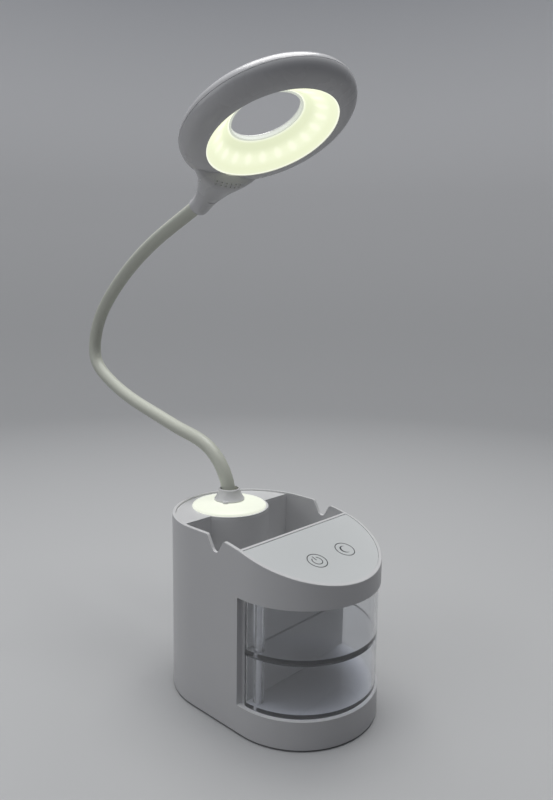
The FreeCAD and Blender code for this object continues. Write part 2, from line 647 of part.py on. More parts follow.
# ---------------------------------------------------------------- deck and night light
def rear_deck():
    plate = stadium(WALL + FIT_GAP, DECK_Z, DECK_TOP_Z).common(
        block(-FAR, FAR, PEN_BOX_REAR_Y + FIT_GAP, FAR, DECK_Z, DECK_TOP_Z))
    plate = plate.fuse(rod(WELL_R - FIT_GAP, 0, WELL_Y, DECK_Z, DECK_TOP_Z))
    return plate.cut(rod(DISC_SKIRT_R + FIT_GAP, 0, WELL_Y, DECK_Z, DECK_TOP_Z)).removeSplitter()


def night_light_disc():
    """Domed diffuser with a skirt that reaches down through the deck to the light board."""
    low = BRACKET_TOP_Z + NIGHT_BOARD_T
    bore = NIPPLE_FLANGE[0] + FIT_GAP
    edge_bulge, crown_bulge = DISC_BULGES
    corners = [V(r, WELL_Y, z) for r, z in (
        (COLLAR_R[0] + FIT_GAP, DISC_TOP_Z),
        (bore, DISC_TOP_Z),
        (bore, DECK_TOP_Z),
        (DISC_SKIRT_R - DISC_SKIRT_T, DECK_TOP_Z),
        (DISC_SKIRT_R - DISC_SKIRT_T, low),
        (DISC_SKIRT_R, low),
        (DISC_SKIRT_R, DECK_TOP_Z),
        (DISC_R, DECK_TOP_Z),
    )]
    edges = [Part.makeLine(a, b) for a, b in zip(corners, corners[1:])]
    shoulder = V(DISC_R - DISC_T, WELL_Y, DECK_TOP_Z + DISC_T)
    edges += [bulged(corners[-1], shoulder, edge_bulge), bulged(shoulder, corners[0], crown_bulge)]
    return turned(edges, WELL_Y)


def night_light_board():
    inner, outer = NIGHT_BOARD_R
    low = BRACKET_TOP_Z
    board = tube(outer, inner, 0, WELL_Y, low, low + NIGHT_BOARD_T)
    side, height = LED
    leds = []
    for i in range(NIGHT_LEDS):
        x, y = polar((inner + outer) / 2, i * 360 / NIGHT_LEDS, WELL_Y)
        leds.append(block(x - side / 2, x + side / 2, y - side / 2, y + side / 2,
                          low + NIGHT_BOARD_T / 2, low + NIGHT_BOARD_T + height))
    return fused([board] + leds)


def neck_bracket():
    plate = tube(BRACKET_R, NIPPLE_R + SLEEVE_FIT, 0, WELL_Y, BRACKET_Z, BRACKET_TOP_Z)
    for x, y in bracket_screw_places():
        plate = plate.cut(rod(SCREW_SHANK_R + FIT_GAP, x, y, BRACKET_Z, BRACKET_TOP_Z))
    return plate


def bracket_screws():
    screws = []
    head_r, head_h = BRACKET_SCREW_HEAD
    for x, y in bracket_screw_places():
        head = rod(head_r, x, y, BRACKET_TOP_Z, BRACKET_TOP_Z + head_h)
        shank = rod(SCREW_SHANK_R, x, y, BRACKET_Z - LEDGE_H + FIT_GAP, BRACKET_TOP_Z)
        screws.append(fused([head, shank]))
    return Part.makeCompound(screws)


def neck_nipple():
    """Threaded tube with a flange; the hose is crimped into it from above."""
    flange_r, flange_h = NIPPLE_FLANGE
    body = rod(NIPPLE_R, 0, WELL_Y, BRACKET_Z - NIPPLE_TAIL, NIPPLE_TOP_Z)
    flange = rod(flange_r, 0, WELL_Y, BRACKET_TOP_Z, BRACKET_TOP_Z + flange_h)
    body = fused([body, flange])
    body = body.cut(rod(HOSE_R + SLEEVE_FIT, 0, WELL_Y, NIPPLE_TOP_Z - NECK_SEAT, NIPPLE_TOP_Z))
    return body.cut(rod(HOSE_BORE_R, 0, WELL_Y, BRACKET_Z - NIPPLE_TAIL, NIPPLE_TOP_Z))


def neck_nut():
    top = BRACKET_Z
    corner_r = NUT_ACROSS_FLATS / 2 / math.cos(math.radians(30))
    points = [V(*polar(corner_r, angle, WELL_Y), top - NUT_H) for angle in range(0, 360, 60)]
    nut = polygon_face(points).extrude(V(0, 0, NUT_H))
    crown = Part.makeSphere(NUT_CROWN_R, V(0, WELL_Y, top - NUT_H / 2))
    return nut.common(crown).cut(rod(NIPPLE_R + SLEEVE_FIT, 0, WELL_Y, top - NUT_H, top))


def neck_collar():
    foot_r, mouth_r = COLLAR_R
    low = DISC_TOP_Z
    top = low + COLLAR_H
    corners = [V(r, WELL_Y, z) for r, z in (
        (mouth_r, top - EDGE_BREAK),
        (mouth_r - EDGE_BREAK, top),
        (COLLAR_BORE_R, top),
        (COLLAR_BORE_R, low),
        (foot_r, low),
        (foot_r, low + COLLAR_FOOT_H),
    )]
    edges = [Part.makeLine(a, b) for a, b in zip(corners, corners[1:])]
    cone = turned(edges + [bulged(corners[-1], corners[0], -COLLAR_WAIST)], WELL_Y)
    # small domed lug with a dimple at the foot
    lug_r, lug_h, dimple_r = COLLAR_LUG
    x, y = polar(foot_r, COLLAR_LUG_DEG, WELL_Y)
    lug = rod(lug_r, x, y, low, low + lug_h)
    lug = lug.makeFillet(lug_r / 2, [e for e in lug.Edges if e.BoundBox.ZMin > low + lug_h / 2])
    lug = lug.cut(rod(COLLAR_BORE_R, 0, WELL_Y, low, top))
    return fused([cone, lug]).cut(Part.makeSphere(dimple_r, V(x, y, low + lug_h)))


# ---------------------------------------------------------------- drawers
def drawer_outline(inset, z0, z1):
    """The base's round front drawn in, with a straight back and a rear left corner round the pin."""
    right = HALF_WIDTH - DRAWER_RIGHT_INSET - inset
    body = stadium(DRAWER_INSET + inset, z0, z1).common(
        block(-FAR, right, -FAR, DRAWER_BACK_Y - inset, z0, z1))
    corner = block(-FAR, PIN_X, PIN_Y, FAR, z0, z1)
    return body.cut(corner.cut(rod(DRAWER_CORNER_R - inset, PIN_X, PIN_Y, z0, z1)))


def drawer(z0, z1):
    foot_z = z0 + DRAWER_PLINTH_H
    tray = drawer_outline(0, foot_z, z1)
    tray = tray.cut(drawer_outline(DRAWER_WALL, foot_z + DRAWER_FLOOR_T, z1))
    plinth = drawer_outline(DRAWER_WALL / 2, z0, foot_z)
    knuckle = rod(KNUCKLE_R, PIN_X, PIN_Y, foot_z, z1)
    whole = fused([tray, plinth, knuckle])
    return whole.cut(rod(PIN_R + PIN_FIT, PIN_X, PIN_Y, z0, z1))


def drawer_pin():
    return rod(PIN_R, PIN_X, PIN_Y, FLOOR_UNDER_Z, CAVITY_Z)


# ---------------------------------------------------------------- paths of the neck, the lead and the ribbon
class Path:
    """Centreline of straight runs joined by tangent arcs, all in the plane x = 0."""

    def __init__(self, points, radii):
        ends = [0.0]
        self.pieces = []             # (start distance, length, start point, heading, centre or None, turn)
        distance = 0.0
        here = V(0, *points[0])
        for i, radius in enumerate(list(radii) + ends, start=1):
            heading = self.heading(points[i - 1], points[i])
            turn = self.heading(points[i], points[i + 1]) - heading if radius else 0.0
            cut = radius * math.tan(abs(turn) / 2)
            corner = V(0, *points[i])
            end = corner - self.direction(heading) * cut
            run = (end - here).Length
            self.pieces.append((distance, run, here, heading, None, 0.0))
            distance += run
            here = end
            if turn:
                side = math.copysign(radius, turn)
                centre = here + V(0, -math.sin(heading), math.cos(heading)) * side
                length = radius * abs(turn)
                self.pieces.append((distance, length, here, heading, centre, turn))
                distance += length
                here = corner + self.direction(heading + turn) * cut
        self.length = distance

    @staticmethod
    def heading(a, b):
        return math.atan2(b[1] - a[1], b[0] - a[0])

    @staticmethod
    def direction(heading):
        return V(0, math.cos(heading), math.sin(heading))

    def at(self, distance):
        """Point and heading at a distance along the path."""
        for start, length, point, heading, centre, turn in self.pieces:
            if distance <= start + length or start + length >= self.length:
                along = distance - start
                break
        if centre is None:
            return point + self.direction(heading) * along, heading
        angle = turn * along / length
        moved = FreeCAD.Rotation(X_AXIS, math.degrees(angle)).multVec(point - centre)
        return centre + moved, heading + angle

    def swept(self, begin, end, section):
        """Bar that follows the path between two distances; section(point, direction) gives its face."""
        bars = []
        for start, length, _, _, centre, turn in self.pieces:
            a = max(begin, start)
            b = min(end, start + length)
            if b - a < TINY:
                continue
            point, heading = self.at(a + TINY / 10)
            face = section(point, self.direction(heading))
            if centre is None:
                bars.append(face.extrude(self.direction(heading) * (b - a)))
            else:
                bars.append(face.revolve(centre, X_AXIS, math.degrees(turn * (b - a) / length)))
        return fused(bars)


def disc_section(radius):
    return lambda point, direction: Part.Face(Part.Wire(Part.makeCircle(radius, point, direction)))


def strip_section(width, thickness):
    def face(point, direction):
        across = V(width / 2, 0, 0)
        normal = direction.cross(X_AXIS) * (thickness / 2)
        return polygon_face([point - across - normal, point + across - normal,
                             point + across + normal, point - across + normal])
    return face


def easy_radii(points):
    """Radius at each inner point: nearly half of the shorter run goes into each bend."""
    radii = []
    for before, point, after in zip(points, points[1:], points[2:]):
        turn = Path.heading(point, after) - Path.heading(before, point)
        shorter = min(math.dist(before, point), math.dist(point, after))
        radii.append((shorter - EASY_GAP) / 2 / math.tan(abs(turn) / 2))
    return radii


def touch_springs():
    """Folded leaf springs: each lies on its pad, folds back and presses on the underside of the panel."""
    width, thick = TOUCH_SPRING
    low = -TOUCH_BOARD_DEPTH + TOUCH_PAD_T + thick / 2
    high = -PANEL_UNDER - thick / 2
    reach = TOUCH_SPRING_REACH
    path = Path([(-reach, low), (reach, low), (-reach, high), (reach / 2, high)], [TOUCH_SPRING_FOLD_R] * 2)
    leaf = path.swept(0, path.length, strip_section(width, thick))
    springs = []
    for sx in (-1, 1):
        spring = leaf.copy()
        spring.translate(V(sx * TOUCH_X, 0, 0))
        springs.append(tilted(spring, TOUCH_Y))
    return Part.makeCompound(springs)


def neck_lead():
    """Lead from the driver board up into the nipple, eased over to the neck's axis."""
    top = BRACKET_Z - NIPPLE_TAIL / 2
    rise = top - BOARD_TOP_Z
    corner_ys = (BOARD_Y, (BOARD_Y + WELL_Y) / 2, WELL_Y)
    corners = [(y, BOARD_TOP_Z + share * rise) for y, share in zip(corner_ys, LEAD_STEPS)]
    points = [(BOARD_Y, BOARD_TOP_Z)] + corners + [(WELL_Y, top)]
    path = Path(points, easy_radii(points))
    return path.swept(0, path.length, disc_section(LEAD_R))


def touch_ribbon():
    """Flat ribbon: driver board, over the counterweight, up the divider's slot and to the touch board."""
    slope = math.radians(SLOPE_DEG)
    start_y = BOARD_Y - BOARD[1] / 2 + RIBBON_TAIL
    low_z = (COVER_TOP_Z + WEIGHT[1] + FLOOR_UNDER_Z) / 2
    mouth_z = CAVITY_Z + RIBBON_SLOT[2] / 2
    # the last run meets the touch board's underside squarely
    depth = TOUCH_BOARD_DEPTH + TOUCH_BOARD[2]
    along = TOUCH_BOARD[1] / 2 - RIBBON_TAIL
    end_y = TOUCH_Y + along * math.cos(slope) + depth * math.sin(slope)
    end_z = slope_z(TOUCH_Y) + along * math.sin(slope) - depth * math.cos(slope)
    turn_y = end_y + (end_z - mouth_z) * math.tan(slope)
    points = [
        (start_y, BOARD_TOP_Z),
        (start_y, low_z),
        (RIBBON_SLOT_Y, low_z),
        (RIBBON_SLOT_Y, mouth_z),
        (turn_y, mouth_z),
        (end_y, end_z),
    ]
    path = Path(points, [RIBBON_BEND_R, RIBBON_FOLD_R, RIBBON_FOLD_R, RIBBON_BEND_R])
    return path.swept(0, path.length, strip_section(*RIBBON))


# ---------------------------------------------------------------- neck
NECK_OFFSETS = [(0.0, -NECK_SEAT)] + [corner[:2] for corner in NECK_CORNERS] + [NECK_END]
NECK_POINTS = [(WELL_Y + y, NIPPLE_TOP_Z + z) for y, z in NECK_OFFSETS]
NECK = Path(NECK_POINTS, [corner[2] for corner in NECK_CORNERS])


def ball_ended(begin, end):
    """Bar of the sleeve's size between two distances, with half a ball on its far end."""
    point, heading = NECK.at(end)
    ball = Part.makeSphere(SLEEVE_R, point, Path.direction(heading), 0, 90, 360)
    return fused([NECK.swept(begin, end, disc_section(SLEEVE_R)), ball])


def cup(index):
    """Room round the ball of the link below."""
    return Part.makeSphere(SLEEVE_R + JOINT_GAP, NECK.at(FLEX_AT[index - 1])[0])


def neck_sleeve(index):
    """Sleeve of one stiff link: a cup at its lower flexing point and a ball at its upper one."""
    begin = NECK_SEAT + FIT_GAP if index == 0 else FLEX_AT[index - 1]
    last = index == len(FLEX_AT)
    end = SLEEVE_END if last else FLEX_AT[index]
    sleeve = NECK.swept(begin, end, disc_section(SLEEVE_R)) if last else ball_ended(begin, end)
    if index > 0:
        sleeve = sleeve.cut(cup(index))
    return sleeve.cut(NECK.swept(begin, end + 2 * SLEEVE_R, disc_section(HOSE_R + SLEEVE_FIT)))


def neck_hose(index):
    """The stretch of hose inside one link, hollow for the lead."""
    begin = 0.0 if index == 0 else FLEX_AT[index - 1]
    last = index == len(FLEX_AT)
    end = HOSE_END if last else FLEX_AT[index] + SLEEVE_R
    hose = NECK.swept(begin, end, disc_section(HOSE_R))
    hose = hose.cut(NECK.swept(begin, end, disc_section(HOSE_BORE_R)))
    if not last:
        hose = hose.common(ball_ended(begin, FLEX_AT[index]))
    if index > 0:
        hose = hose.cut(cup(index))
    return hose


# ---------------------------------------------------------------- lamp head, modelled flat at the origin
HEAD_CENTRE = V(0, WELL_Y + HEAD_PLACE[0], NIPPLE_TOP_Z + HEAD_PLACE[1])
HEAD_FRAME = FreeCAD.Placement(HEAD_CENTRE, FreeCAD.Rotation(X_AXIS, -HEAD_TILT_DEG))


def in_head(shape):
    """Moves a shape from the head's own frame (+Y to the neck, +Z away from the light) to its place."""
    return shape.transformed(HEAD_FRAME.toMatrix())


def to_head(point):
    """A point of the row frame in the head's own frame."""
    return HEAD_FRAME.inverse().multVec(point)


# the sleeve stops a little inside the tab's mouth, and the hose goes on into the ferrule
NECK_END_DEPTH = to_head(NECK.at(NECK.length)[0]).y
SLEEVE_END = NECK.length - (TAB_END - SLEEVE_SEAT - NECK_END_DEPTH)
HOSE_END = SLEEVE_END + FERRULE_L


def quarter(centre_r, half_r, half_h):
    """Quarter of an ellipse in the (radius, height) plane, from the parting plane to the flat face.

    half_h is negative where the flat face lies below the parting plane.
    """
    centre = V(centre_r, 0, PARTING_H)
    outer = centre + V(half_r, 0, 0)
    flat = centre + V(0, 0, half_h)
    if half_r >= abs(half_h):
        ellipse = Part.Ellipse(outer, flat, centre)
    else:
        ellipse = Part.Ellipse(flat, outer, centre)
    return ellipse.toShape(0, math.pi / 2), outer, flat


def ring_form(flat_r, inset, flat_h):
    """Solid from the parting plane to a flat face, with the ring's outer form drawn in by inset."""
    curve, outer, flat = quarter(flat_r, HEAD_R - flat_r - inset, flat_h - PARTING_H)
    edges = [
        Part.makeLine(V(0, 0, PARTING_H), outer),
        curve,
        Part.makeLine(flat, V(0, 0, flat_h)),
        Part.makeLine(V(0, 0, flat_h), V(0, 0, PARTING_H)),
    ]
    return turned(edges)


def lower_bowl(inset, floor_h):
    return ring_form(LOWER_FLAT_R, inset, floor_h)


def upper_dome(inset):
    return ring_form(UPPER_FLAT_R, inset, HEAD_TOP_H - inset)


def tab_form(inset, sections=TAB_SECTIONS):
    """Smooth flare from the ring into the neck socket, through oval sections."""
    wires = []
    for beyond, half_width, low, high in sections:
        half_h = (high - low) / 2 - inset
        half_w = half_width - inset
        centre = V(0, HEAD_R + beyond, (high + low) / 2)
        side = centre + V(half_w, 0, 0)
        top = centre + V(0, 0, half_h)
        ellipse = Part.Ellipse(side, top, centre) if half_w >= half_h else Part.Ellipse(top, side, centre)
        wires.append(Part.Wire(ellipse.toShape()))
    return Part.makeLoft(wires, True)


def neck_bore(radius, begin, end):
    """Straight bore along the neck's last run, in the head's own frame."""
    point, heading = NECK.at(begin)
    low = to_head(point)
    high = to_head(NECK.at(end)[0])
    return Part.makeCylinder(radius, (high - low).Length, low, high - low)


def seam():
    """Fine shadow gap that runs round ring and tab at the parting."""
    height, depth = SEAM
    low = PARTING_H - height / 2
    slab = block(-FAR, FAR, -FAR, FAR, low, low + height)
    return slab.cut(rod(HEAD_R - depth, 0, 0, low, low + height)).cut(tab_form(depth))


def head_lower_shell():
    below = block(-FAR, FAR, -FAR, FAR, -FAR, PARTING_H)
    form = fused([lower_bowl(0, -RIM_DROP), tab_form(0).common(below)]).cut(seam())
    # room inside: the open mouth of the funnel, the hollow ring and the hollow tab
    form = form.cut(rod(GLOW_R, 0, 0, -FAR, PARTING_H))
    form = form.cut(lower_bowl(HEAD_T, RIM_LIP_H))
    tongue_r = HEAD_R - TONGUE_INSET
    under, over = TONGUE_REACH
    tongue = tube(tongue_r, tongue_r - TONGUE_T, 0, 0, PARTING_H - under, PARTING_H + over)
    form = fused([form, tongue])
    form = form.cut(tab_form(HEAD_T, TAB_SECTIONS[:TAB_HOLLOW_SECTIONS]))
    # mouth of the sleeve, socket of the ferrule and passage of the leads into the hollow of the tab
    form = form.cut(neck_bore(SLEEVE_R + FIT_GAP, SLEEVE_END - FERRULE_L, SLEEVE_END))
    form = form.cut(neck_bore(FERRULE_R + FERRULE_FIT, SLEEVE_END, HOSE_END + FERRULE_FIT))
    form = form.cut(neck_bore(HOSE_BORE_R, HOSE_END, HOSE_END + FERRULE_L))
    for vent in vents():
        form = form.cut(vent)
    return form.cut(latch_slot())


def latch_slot():
    """Shallow groove across the underside of the tab."""
    width, breadth, depth = LATCH_SLOT
    beyond, _, underside, _ = TAB_SECTIONS[LATCH_SECTION]
    distance = HEAD_R + beyond
    return block(-width / 2, width / 2, distance - breadth / 2, distance + breadth / 2,
                 -FAR, underside + depth)


def vents():
    """Two rows of small holes through the underside of the tab."""
    holes = []
    for inset in VENT_ROWS:
        for i in range(VENT_COLUMNS):
            x = (i - (VENT_COLUMNS - 1) / 2) * VENT_PITCH
            holes.append(rod(VENT_R, x, HEAD_R - inset, -FAR, 0.0))
    return holes


def head_upper_shell():
    above = block(-FAR, FAR, -FAR, FAR, PARTING_H, FAR)
    form = fused([upper_dome(0), tab_form(0).common(above)]).cut(seam())
    room = upper_dome(HEAD_T).cut(rod(HOLE_R + HOLE_LIP_T, 0, 0, HOLE_LIP_LOW, FAR))
    form = form.cut(room).cut(tab_form(HEAD_T, TAB_SECTIONS[:TAB_HOLLOW_SECTIONS]))
    form = form.cut(rod(HOLE_R, 0, 0, 0, FAR))
    posts = [rod(RING_POST_R, *polar(RING_POST_AT, a), RING_BOARD_H + RING_BOARD_T, HEAD_TOP_H - HEAD_T / 2)
             for a in ring_screw_angles()]
    form = fused([form] + posts)
    for a in ring_screw_angles():
        form = form.cut(rod(RING_SCREW_R + SLEEVE_FIT, *polar(RING_POST_AT, a), RING_BOARD_H,
                            HEAD_TOP_H - HEAD_T / 3))
    top_rim = [e for e in form.Edges if abs(e.BoundBox.ZMin - HEAD_TOP_H) < TINY_LENGTH
               and abs(e.BoundBox.XMax - HOLE_R) < TINY_LENGTH]
    return form.makeFillet(HOLE_LIP_T / 2, top_rim)


def head_diffuser():
    """Funnel from the glowing rim up to the lip round the central hole, slightly hollow in section."""
    inner_r = HOLE_R + HOLE_LIP_T + FIT_GAP / 2
    outer_r = GLOW_R - FIT_GAP / 2
    low = FIT_GAP
    high = HEAD_TOP_H - HEAD_T - DIFFUSER_T
    front = [V(outer_r, 0, low), V(inner_r, 0, high)]
    back = [point + V(0, 0, DIFFUSER_T) for point in front]
    return turned([
        bulged(front[0], front[1], -DIFFUSER_SAG),
        Part.makeLine(front[1], back[1]),
        bulged(back[1], back[0], DIFFUSER_SAG),
        Part.makeLine(back[0], front[0]),
    ])


def ring_screw_angles():
    return [i * 360 / RING_SCREWS - 90 for i in range(RING_SCREWS)]


def led_ring_board():
    inner_inset, outer_inset = RING_BOARD_INSETS
    board = tube(HEAD_R - outer_inset, HEAD_R - inner_inset, 0, 0, RING_BOARD_H, RING_BOARD_H + RING_BOARD_T)
    for a in ring_screw_angles():
        board = board.cut(rod(RING_SCREW_R + FIT_GAP, *polar(RING_POST_AT, a), 0, FAR))
    return board


def led_chips():
    side, height = LED
    chips = []
    centre_r = HEAD_R - RING_LED_INSET
    for i in range(RING_LEDS):
        chip = block(centre_r - side / 2, centre_r + side / 2, -side / 2, side / 2,
                     RING_BOARD_H - height, RING_BOARD_H)
        chip.rotate(V(0, 0, 0), Z_AXIS, RING_LED_START_DEG + i * 360 / RING_LEDS)
        chips.append(chip)
    return Part.makeCompound(chips)


def ring_screws():
    head_r, head_h = RING_SCREW_HEAD
    screws = []
    for a in ring_screw_angles():
        x, y = polar(RING_POST_AT, a)
        head = rod(head_r, x, y, RING_BOARD_H - head_h, RING_BOARD_H)
        shank = rod(RING_SCREW_R, x, y, RING_BOARD_H - head_h / 2, HEAD_TOP_H - HEAD_T / 2)
        screws.append(fused([head, shank]))
    return Part.makeCompound(screws)


def neck_ferrule():
    body = neck_bore(FERRULE_R, SLEEVE_END + FIT_GAP, HOSE_END)
    return body.cut(neck_bore(HOSE_R + SLEEVE_FIT, SLEEVE_END, HOSE_END))


# ---------------------------------------------------------------- all nodes
def build():
    lower_z = FLOOR_Z + DRAWER_GAP
    upper_z = LOWER_DRAWER_TOP_Z + DRAWER_GAP
    nodes = {
        "housing": housing(),
        "bottom_cover": bottom_cover(),
        "rubber_feet": rubber_feet(),
        "cover_screws": cover_screws(),
        "counterweight": counterweight(),
        "battery_cell": battery_cell(),
        "driver_board": driver_board(),
        "charging_socket": charging_socket(),
        "control_panel": control_panel(),
        "touch_board": touch_board(),
        "touch_springs": touch_springs(),
        "touch_ribbon": touch_ribbon(),
        "rear_deck": rear_deck(),
        "night_light_disc": night_light_disc(),
        "night_light_board": night_light_board(),
        "neck_bracket": neck_bracket(),
        "bracket_screws": bracket_screws(),
        "neck_nipple": neck_nipple(),
        "neck_nut": neck_nut(),
        "neck_collar": neck_collar(),
        "neck_lead": neck_lead(),
        "drawer_pin": drawer_pin(),
        "lower_drawer": drawer(lower_z, LOWER_DRAWER_TOP_Z),
        "upper_drawer": drawer(upper_z, BAY_TOP_Z - DRAWER_GAP),
        "head_lower_shell": in_head(head_lower_shell()),
        "head_upper_shell": in_head(head_upper_shell()),
        "head_diffuser": in_head(head_diffuser()),
        "led_ring_board": in_head(led_ring_board()),
        "led_chips": in_head(led_chips()),
        "ring_screws": in_head(ring_screws()),
        "neck_ferrule": in_head(neck_ferrule()),
    }
    for index in range(len(FLEX_AT) + 1):
        nodes["neck_sleeve_%02d" % index] = neck_sleeve(index)
        nodes["neck_hose_%02d" % index] = neck_hose(index)
    return nodes


def main():
    os.makedirs("parts", exist_ok=True)
    for name, shape in build().items():
        shape.exportStep("parts/%s.step" % name)
        box = shape.BoundBox
        print("%-18s solids %2d valid %s volume %9.1f  x %6.1f %6.1f  y %6.1f %6.1f  z %6.1f %6.1f" % (
            name, len(shape.Solids), shape.isValid(), shape.Volume,
            box.XMin, box.XMax, box.YMin, box.YMax, box.ZMin, box.ZMax))
    for i, distance in enumerate(FLEX_AT):
        point, heading = NECK.at(distance)
        print("flex %2d  y %.3f  z %.3f  heading %.2f" % (i + 1, point.y, point.z, math.degrees(heading)))


main()
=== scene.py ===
"""Looks of the desk lamp with a pen box and two swing-out drawers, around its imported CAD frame.

Metres.  +Z is up, -Y is the front, and the origin is the centre of the base's footprint on the table.
Every CAD node keeps its own mesh and gets a procedural material.  Two things are made here: the smooth
silicone sleeve of the neck, and the printed marks of the two touch keys.
"""
import json
import math

import bmesh
import bpy
from mathutils import Matrix, Vector

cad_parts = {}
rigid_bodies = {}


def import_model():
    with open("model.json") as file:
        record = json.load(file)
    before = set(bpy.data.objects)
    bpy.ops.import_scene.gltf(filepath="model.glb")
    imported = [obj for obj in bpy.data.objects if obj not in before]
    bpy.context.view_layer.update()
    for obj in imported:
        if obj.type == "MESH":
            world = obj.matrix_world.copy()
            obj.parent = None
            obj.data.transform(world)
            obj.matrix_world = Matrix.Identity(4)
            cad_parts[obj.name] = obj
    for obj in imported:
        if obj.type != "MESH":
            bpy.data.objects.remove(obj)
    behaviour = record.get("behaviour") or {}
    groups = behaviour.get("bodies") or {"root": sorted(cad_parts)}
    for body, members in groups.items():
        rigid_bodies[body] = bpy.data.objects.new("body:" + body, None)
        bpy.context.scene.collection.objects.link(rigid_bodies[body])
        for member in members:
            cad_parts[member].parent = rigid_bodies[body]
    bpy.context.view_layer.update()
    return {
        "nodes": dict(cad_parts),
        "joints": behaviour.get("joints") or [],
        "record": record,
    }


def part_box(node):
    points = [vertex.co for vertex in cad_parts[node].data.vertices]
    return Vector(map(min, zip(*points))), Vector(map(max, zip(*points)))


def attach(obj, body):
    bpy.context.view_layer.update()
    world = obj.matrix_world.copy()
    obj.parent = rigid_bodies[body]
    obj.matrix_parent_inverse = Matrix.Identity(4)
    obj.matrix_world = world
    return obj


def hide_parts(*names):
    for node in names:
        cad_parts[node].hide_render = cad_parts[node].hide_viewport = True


MM = 0.001
WELD = 0.1 * MM                  # corners nearer than this are joined on the stage

# ---------------------------------------------------------------- camera, light and floor
CAMERA_AT = Vector((-301.1, -282.2, 250.9)) * MM
CAMERA_AZIMUTH = -0.819          # the camera's angles are in radians
CAMERA_PITCH = 0.156
CAMERA_ROLL = -0.014
CAMERA_LENS = 31.5
FLOOR_R = 1.0
COVE_R = 0.5                     # bend between the floor and the backdrop
COVE_TOP = 1.9
COVE_STEPS = 10
COVE_SIDES = 96
KEY_LIGHT = dict(
    at=(0.10, 0.10, 1.35), aim=(0, 0, 0.1), size=(0.9, 0.9), watts=13.5, colour=(1.0, 0.99, 0.97),
)
FILL_LIGHT = dict(
    at=(-1.05, 0.40, 0.60), aim=(0, 0, 0.2), size=(0.8, 0.8), watts=2.2, colour=(0.97, 0.98, 1.0),
)
WORLD_COLOUR = (0.76, 0.84, 1.0)
WORLD_STRENGTH = 0.30
FLOOR_SEEN = (0.56, 0.565, 0.57)  # to the camera, straight on, mirrored or through the drawers
BACKDROP_SEEN = (0.88, 0.885, 0.90)
BACKDROP_RISE = (0.1, 0.75)      # heights between which the one turns into the other
STAGE_BOUNCE = (0.20, 0.20, 0.205)  # the stage's colour where it throws light back on the lamp

# ---------------------------------------------------------------- materials
GRAIN_FINENESS = 2600            # of the moulds' grain, in features to the metre
NOISE_REACH = (0.3, 0.7)         # most of the noise lies between these
COAT_ROUGHNESS = 0.12
SCRATCH = 0.006 * MM             # depth of the fine lines in bare metal
BOARD_FIELDS = 320.0             # fields between the tracks, to the metre
TRACK_CORE = 0.03                # part of a field's width that is all track, at its edge

# ---------------------------------------------------------------- neck sleeve
SKIN_BORE_R = 3.4 * MM
SKIN_SIDES = 40
SKIN_STEP = 1.0 * MM
BALL_REACH = 1.5 * MM            # how far a piece's ball goes into the cup of the piece before
BALL_BORE_R = 4.1 * MM
BALL_BORE_L = 5.5 * MM           # of the wide bore past the flexing point; the hose's end swings in it
BALL_STEPS = 8
CUP_GAP = 0.03 * MM
SHARP_DEG = 40.0                 # edges sharper than this aren't smoothed over

# ---------------------------------------------------------------- touch marks on the panel
TOUCH_AT = (12.5 * MM, -45.3 * MM)
MARK_T = 0.05 * MM
RING_R = 6.2 * MM
LINE_W = 0.55 * MM
POWER_R = 3.4 * MM
POWER_GAP_DEG = 32.0             # half the opening of the power sign's arc
POWER_BAR = (0.6 * MM, 4.1 * MM)  # its lower and upper end, from the centre
MOON_R = 3.2 * MM
MOON_BITE = (2.9 * MM, 0.8 * MM)  # radius and offset of the circle that hollows the crescent
MOON_TURN_DEG = 165.0            # where the back of the crescent points
MOON_STEPS = 24
ARC_STEP_DEG = 6.0
SIGHT_Z = 1.0                    # height above the lamp from which the panel is looked for

# ---------------------------------------------------------------- lamp head, for the pattern of its glow
HEAD_CENTRE = Vector((0, 4.7, 337.4)) * MM
HEAD_TILT_DEG = 26.8
RING_LEDS = 20
LED_START_DEG = 1.5
LED_R = 31.1 * MM
SPOT_CORE_R = 0.8 * MM
SPOT_R = 4.2 * MM                # where the bright spot over a chip has faded
SPOT_SQUEEZE = 7.8 * MM**2       # a larger one makes the spots narrower along the ring
GLOW_STOPS = (                   # distance from the ring's axis in mm, and the glow there
    (22.9, (0.83, 0.86, 0.68)),
    (23.9, (0.70, 0.745, 0.515)),
    (26.4, (0.70, 0.745, 0.515)),
    (30.0, (0.84, 0.88, 0.635)),
    (33.0, (0.84, 0.88, 0.64)),
    (36.0, (0.79, 0.83, 0.585)),
    (38.7, (0.80, 0.84, 0.60)),
    (39.4, (0.93, 0.95, 0.79)),
)
SPOT_GLOW = (0.93, 0.95, 0.74)
LIP_R = (22.7 * MM, 23.3 * MM)   # painted light on the lip round the hole reaches up to here from the axis
LIP_TOP = (14.0 * MM, 15.4 * MM)  # and up to here over the glowing rim
# strength of the painted light on the lip, which stands in for the chips' light falling on it
LIP_PAINTED_LIGHT = 0.42


